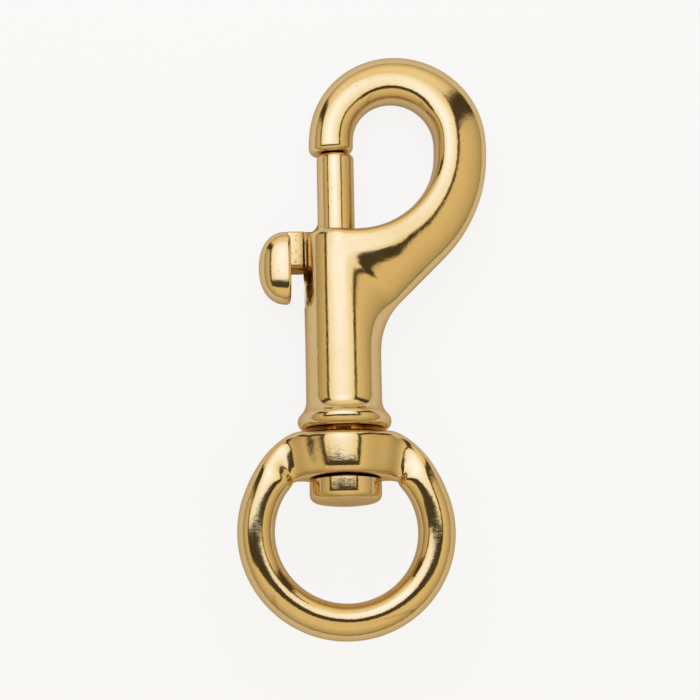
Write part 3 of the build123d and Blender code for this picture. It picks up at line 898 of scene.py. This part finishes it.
def brass_material(name, finish, cast_span=None, cast_foot=0.0):
    """Polished brass: warm patches, fine pores, buffing scratches and a faint unevenness.

    Where a cast span is given, the metal between those two places across the snap keeps its cast skin. Next
    to the second place and just above the cast foot, which is a height along the swivel axis, it is darkened
    to paint the shade in the slot and under the arm.
    """
    material = bpy.data.materials.new(name)
    material.use_nodes = True
    tree = material.node_tree
    shader = tree.nodes["Principled BSDF"]
    place = add_node(tree, "ShaderNodeTexCoord").outputs["Object"]
    patches = ranged(tree, noise(tree, place, PATCH_SCALE, 3), 0.35, 0.7)
    pores = ranged(tree, noise(tree, place, PORE_SCALE, 3), 0.70, 0.78)
    turned_place = add_node(tree, "ShaderNodeMapping", {
        "Vector": place, "Rotation": (0, 0, SCRATCH_TURN), "Scale": SCRATCH_SCALES}).outputs["Vector"]
    scratches = noise(tree, turned_place, 1, 3)
    smears = noise(tree, place, SMEAR_SCALE, 4)
    tone = blended(tree, patches, opaque(finish.brass), opaque(finish.worn))
    tone = blended(tree, pores, tone, opaque(finish.pit))
    gloss = ranged(tree, smears, 0.3, 0.75, *(finish.polish * part for part in POLISH_SPREAD))
    wave = bumped(tree, noise(tree, place, WAVE_SCALE, 1), WAVE_DEPTH)
    dents = bumped(tree, noise(tree, place, DENT_SCALE, 4), DENT_DEPTH, wave)
    fuzz = bumped(tree, noise(tree, place, FUZZ_SCALE, 3), FUZZ_DEPTH, dents)
    surface = bumped(tree, scratches, SCRATCH_DEPTH, fuzz)
    if cast_span:
        across = add_node(tree, "ShaderNodeSeparateXYZ", {"Vector": place}).outputs["X"]
        first, last = cast_span
        cast = band(tree, across, first - SKIN_EDGE, first + SKIN_EDGE, last - SKIN_EDGE, last + SKIN_EDGE)
        grains = noise(tree, place, GRAIN_SCALE, 5)
        holes = ranged(tree, noise(tree, place, HOLE_SCALE, 2), 0.66, 0.74)
        skin = blended(tree, holes, opaque(finish.cast), opaque(finish.pit))
        # Painted shade: the cast skin darkens within reach of the bolt, where the arm runs in the slot, and
        # along the arm's lower side
        inside = ranged(tree, across, last - PAINTED_SHADE_REACH - PAINTED_SHADE_FADE, last - PAINTED_SHADE_REACH)
        offset = vector_math(tree, "SUBTRACT", place, FOOT, "Vector")
        height = measured(tree, offset, [ALONG])[0]
        under = ranged(tree, height, cast_foot + PAINTED_SHADE_FULL, cast_foot + PAINTED_SHADE_TOP, 1, 0)
        skin = blended(tree, calculated(tree, "MAXIMUM", inside, under), skin, opaque(finish.painted_shade))
        tone = blended(tree, cast, tone, skin)
        gloss = blended(tree, cast, gloss, finish.skin, "FLOAT")
        rough = bumped(tree, grains, GRAIN_DEPTH)
        rough = bumped(tree, holes, -HOLE_DEPTH, rough)
        surface = blended(tree, cast, surface, rough, "VECTOR")
    tree.links.new(tone, shader.inputs["Base Color"])
    tree.links.new(gloss, shader.inputs["Roughness"])
    tree.links.new(surface, shader.inputs["Normal"])
    shader.inputs["Metallic"].default_value = 1.0
    shader.inputs["Specular Tint"].default_value = opaque(finish.edge)
    return material


def steel_material(name, finish):
    """Drawn spring wire: grey steel with fine streaks."""
    material = bpy.data.materials.new(name)
    material.use_nodes = True
    tree = material.node_tree
    shader = tree.nodes["Principled BSDF"]
    place = add_node(tree, "ShaderNodeTexCoord").outputs["Object"]
    streaks = noise(tree, place, STREAK_SCALE, 3)
    shade = [part * STREAK_SHADE for part in finish.steel]
    tone = blended(tree, streaks, opaque(finish.steel), opaque(shade))
    tree.links.new(tone, shader.inputs["Base Color"])
    tree.links.new(ranged(tree, streaks, 0.3, 0.7, *STEEL_ROUGHNESS), shader.inputs["Roughness"])
    shader.inputs["Metallic"].default_value = 1.0
    return material


class SNAP_OT_hook_body(Operator):
    """Makes the cast hook body: collar, barrel and hook, with the bolt's bore and the arm's slot."""

    bl_idname = "snap.hook_body"
    bl_label = "Hook Body"

    def execute(self, context):
        scene = context.scene
        hook, plunger, swivel = scene.snap_hook, scene.snap_plunger, scene.snap_swivel
        piece = shell("hook_casting", hook_skin(hook, plunger, swivel))
        combine(piece, shell("bore", bore_cutter(hook, plunger, swivel)), "DIFFERENCE")
        combine(piece, shell("slot", slot_cutter(hook, plunger)), "DIFFERENCE")
        fit(piece, "body", "hook_body", brass_material("hook_brass", scene.snap_finish))
        return {"FINISHED"}


class SNAP_OT_plunger(Operator):
    """Makes the plunger: the round bolt, the arm through the slot and the thumb knob."""

    bl_idname = "snap.plunger"
    bl_label = "Plunger"

    def execute(self, context):
        scene = context.scene
        size = scene.snap_plunger
        piece = shell("plunger_casting", bolt_grid(size))
        combine(piece, shell("arm", arm_grid(size)), "UNION")
        combine(piece, shell("knob", knob_grid(size)), "UNION")
        span = FOOT[0] - size.knob_face, FOOT[0] + size.bolt_offset - size.bolt_radius
        material = brass_material("plunger_brass", scene.snap_finish, span, size.arm_top - size.arm_height)
        fit(piece, "plunger", "plunger", material)
        return {"FINISHED"}


class SNAP_OT_spring(Operator):
    """Makes the coil spring under the bolt, at its length with the bolt closed; the real spring shortens as
    the bolt is drawn back, but this one keeps its length.
    """

    bl_idname = "snap.spring"
    bl_label = "Spring"

    def execute(self, context):
        scene = context.scene
        plunger, swivel = scene.snap_plunger, scene.snap_swivel
        piece = shell("coil_spring", coil_grid(scene.snap_spring, plunger, swivel))
        fit(piece, "body", "spring", steel_material("spring_steel", scene.snap_finish))
        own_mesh(piece)
        return {"FINISHED"}


class SNAP_OT_swivel_eye(Operator):
    """Makes the swivel eye: the round ring and its thick boss, bored for the rivet."""

    bl_idname = "snap.swivel_eye"
    bl_label = "Swivel Eye"

    def execute(self, context):
        scene = context.scene
        piece = shell("eye_casting", eye_grid(scene.snap_swivel), ring=True)
        combine(piece, shell("pin_hole", pin_hole_cutter(scene.snap_swivel)), "DIFFERENCE")
        fit(piece, "eye", "swivel_eye", brass_material("eye_brass", scene.snap_finish))
        return {"FINISHED"}


class SNAP_OT_swivel_pin(Operator):
    """Makes the rivet that the eye turns on."""

    bl_idname = "snap.swivel_pin"
    bl_label = "Swivel Pin"

    def execute(self, context):
        scene = context.scene
        piece = shell("rivet", rivet_grid(scene.snap_swivel))
        fit(piece, "body", "swivel_pin", brass_material("pin_brass", scene.snap_finish))
        return {"FINISHED"}


def camera_axes(studio):
    """Right, up and backward directions of the camera on the bench."""
    pitch, swing, roll = studio.pitch, studio.swing, studio.roll
    back = np.array([-sin(swing) * cos(pitch), -sin(pitch), cos(swing) * cos(pitch)])
    right = np.array([cos(swing), 0, sin(swing)])
    up = np.cross(back, right)
    return cos(roll) * right - sin(roll) * up, sin(roll) * right + cos(roll) * up, back


def floor_material(studio):
    """Pale floor that shows nearly white in the picture, a little paler in the metal, and keeps a shadow."""
    material = bpy.data.materials.new("floor_paper")
    material.use_nodes = True
    tree = material.node_tree
    tree.nodes.clear()
    path = add_node(tree, "ShaderNodeLightPath").outputs
    mirrored = calculated(tree, "MAXIMUM", path["Is Glossy Ray"], path["Is Transmission Ray"])
    seen = calculated(tree, "MULTIPLY", path["Is Camera Ray"], FLOOR_WHITE)
    white = calculated(tree, "MAXIMUM", seen, calculated(tree, "MULTIPLY", mirrored, MIRRORED_WHITE))
    paper = add_node(tree, "ShaderNodeBsdfDiffuse", {"Color": opaque(studio.floor)})
    glow = add_node(tree, "ShaderNodeEmission", {"Color": opaque((1, 1, 1)), "Strength": 1.0})
    both = add_node(tree, "ShaderNodeMixShader", {0: white, 1: paper.outputs[0], 2: glow.outputs[0]})
    add_node(tree, "ShaderNodeOutputMaterial", {"Surface": both.outputs[0]})
    return material


def room_axes(studio):
    """Directions across, along and out of the bench for the room, which is turned to the knob's side."""
    sideways = np.array([cos(studio.room_turn), 0, sin(studio.room_turn)]) @ BENCH
    return sideways, ALONG, np.cross(sideways, ALONG)


def panel_material(studio):
    """Light panel with a bright middle, a dark frame and the dark gap below, whose edges are uneven."""
    material = bpy.data.materials.new("light_panel")
    material.use_nodes = True
    tree = material.node_tree
    tree.nodes.clear()
    place = add_node(tree, "ShaderNodeTexCoord").outputs["Object"]
    place = vector_math(tree, "SUBTRACT", place, FOOT, "Vector")
    axes = room_axes(studio)
    across, along = measured(tree, place, axes[:2])
    uneven = ranged(tree, noise(tree, place, UNEVEN_SCALE, 5), 0.3, 0.7, -UNEVEN, UNEVEN)
    lower = calculated(tree, "ADD", along, uneven)
    aside = calculated(tree, "ABSOLUTE", across)
    shining = product(tree, ranged(tree, aside, studio.panel_half - SOFT, studio.panel_half + SOFT, 1, 0),
                      ranged(tree, along, studio.panel_top - SOFT, studio.panel_top + SOFT, 1, 0),
                      ranged(tree, lower, studio.panel_foot - SOFT, studio.panel_foot + SOFT))
    spot = np.array([studio.spot_across, studio.spot_along, studio.panel_distance]) @ np.stack(axes)
    near = ranged(tree, vector_math(tree, "DISTANCE", place, spot), studio.spot_reach, 0)
    glow = blended(tree, near, opaque(studio.panel_rim), opaque(studio.panel_core))
    gap = ranged(tree, lower, studio.gap_foot - SOFT, studio.gap_foot + SOFT)
    tone = blended(tree, gap, opaque(studio.wall_near), opaque(studio.seam))
    tone = blended(tree, shining, tone, glow)
    lit = add_node(tree, "ShaderNodeEmission", {"Color": tone, "Strength": 1.0})
    add_node(tree, "ShaderNodeOutputMaterial", {"Surface": lit.outputs[0]})
    return material


def stage_sheet(name, corners, material):
    """A flat sheet of the stage between four corners."""
    mesh = bpy.data.meshes.new(name)
    mesh.from_pydata(corners, [], [(0, 1, 2, 3)])
    mesh.materials.append(material)
    sheet = bpy.data.objects.new(name, mesh)
    bpy.context.scene.collection.objects.link(sheet)
    return sheet


def hang_panel(studio):
    """The light panel in front of the bench, which the camera looks through."""
    side = studio.panel_half + studio.panel_frame
    low, high = studio.gap_foot - studio.panel_frame, studio.panel_top + SOFT
    corners = np.array([(-side, low, 0), (side, low, 0), (side, high, 0), (-side, high, 0)])
    corners[:, 2] = studio.panel_distance
    corners = FOOT + corners @ np.stack(room_axes(studio))
    panel = stage_sheet("light_panel", corners, panel_material(studio))
    panel.visible_camera = False


def light_room(studio):
    """The room round the panel: walls that dim towards the floor, a brighter wall beyond the hook, dark
    seams between the walls and above the floor. The camera sees a plain white backdrop in its place."""
    world = bpy.data.worlds.new("studio")
    bpy.context.scene.world = world
    world.use_nodes = True
    tree = world.node_tree
    aim = add_node(tree, "ShaderNodeTexCoord").outputs["Generated"]
    across, along = measured(tree, aim, room_axes(studio)[:2])
    out = measured(tree, aim, BENCH[2:])[0]
    aside = calculated(tree, "MAXIMUM", calculated(tree, "ABSOLUTE", across), HORIZON)
    slant = calculated(tree, "DIVIDE", along, aside)
    near = ranged(tree, out, 0, WALL_HEIGHT)
    walls = blended(tree, near, opaque(studio.wall_far), opaque(studio.wall_near))
    above = product(tree, ranged(tree, slant, *TOP_SLANTS), ranged(tree, out, *TOP_HEIGHTS))
    walls = blended(tree, above, walls, opaque(studio.wall_top))
    foot_corner = product(tree, band(tree, slant, *FOOT_CORNER), FOOT_SHADE)
    ground = ranged(tree, out, 0, HORIZON, GROUND_SHADE, 0)
    seams = calculated(tree, "MAXIMUM", band(tree, slant, *SIDE_CORNER), foot_corner)
    seams = calculated(tree, "MAXIMUM", seams, ground)
    walls = blended(tree, seams, walls, opaque(studio.seam))
    seen = add_node(tree, "ShaderNodeLightPath").outputs["Is Camera Ray"]
    walls = blended(tree, seen, walls, opaque([BACKDROP_WHITE] * 3))
    background = tree.nodes["Background"]
    tree.links.new(walls, background.inputs["Color"])
    background.inputs["Strength"].default_value = 1.0


class SNAP_OT_stage(Operator):
    """Makes the floor, the light and the camera."""

    bl_idname = "snap.stage"
    bl_label = "Stage"

    def execute(self, context):
        studio = context.scene.snap_studio
        right, up, back = camera_axes(studio)
        aim = np.array([studio.aim_across, studio.aim_along, 0])
        camera = bpy.data.objects.new("camera", bpy.data.cameras.new("camera"))
        context.scene.collection.objects.link(camera)
        place = np.eye(4)
        place[:3, :3] = np.stack([axis @ BENCH for axis in (right, up, back)], axis=1)
        place[:3, 3] = laid(aim + studio.distance * back)
        camera.matrix_world = Matrix(place.tolist())
        camera.data.angle = studio.view
        context.scene.camera = camera

        corners = FLOOR_REACH * np.array([(-1, -1, 0), (1, -1, 0), (1, 1, 0), (-1, 1, 0)])
        floor = stage_sheet("floor", corners, floor_material(studio))
        hang_panel(studio)
        light_room(studio)
        context.scene.view_settings.view_transform = "Standard"
        return {"FINISHED"}


class SNAP_PT_panel(Panel):
    """Lists the snap's pieces."""

    bl_idname = "SNAP_PT_panel"
    bl_label = "Bolt Snap"
    bl_space_type = "VIEW_3D"
    bl_region_type = "UI"
    bl_category = "Bolt Snap"

    def draw(self, context):
        for operator in OPERATORS:
            self.layout.operator(operator.bl_idname)


GROUPS = {
    "snap_hook": HookSizes,
    "snap_plunger": PlungerSizes,
    "snap_swivel": SwivelSizes,
    "snap_spring": SpringSizes,
    "snap_finish": Finish,
    "snap_studio": Studio,
}
OPERATORS = (
    SNAP_OT_hook_body,
    SNAP_OT_plunger,
    SNAP_OT_spring,
    SNAP_OT_swivel_eye,
    SNAP_OT_swivel_pin,
    SNAP_OT_stage,
)


def register():
    """Registers the sizes, the operators and the panel."""
    for name, group in GROUPS.items():
        bpy.utils.register_class(group)
        setattr(bpy.types.Scene, name, PointerProperty(type=group))
    for kind in (*OPERATORS, SNAP_PT_panel):
        bpy.utils.register_class(kind)


def unregister():
    """Takes back what register did."""
    for kind in (SNAP_PT_panel, *reversed(OPERATORS)):
        bpy.utils.unregister_class(kind)
    for name, group in reversed(GROUPS.items()):
        delattr(bpy.types.Scene, name)
        bpy.utils.unregister_class(group)


def main():
    """Builds the snap and its stage."""
    register()
    bpy.ops.snap.hook_body()
    bpy.ops.snap.plunger()
    bpy.ops.snap.spring()
    bpy.ops.snap.swivel_eye()
    bpy.ops.snap.swivel_pin()
    bpy.ops.snap.stage()


if __name__ == "__main__":
    main()
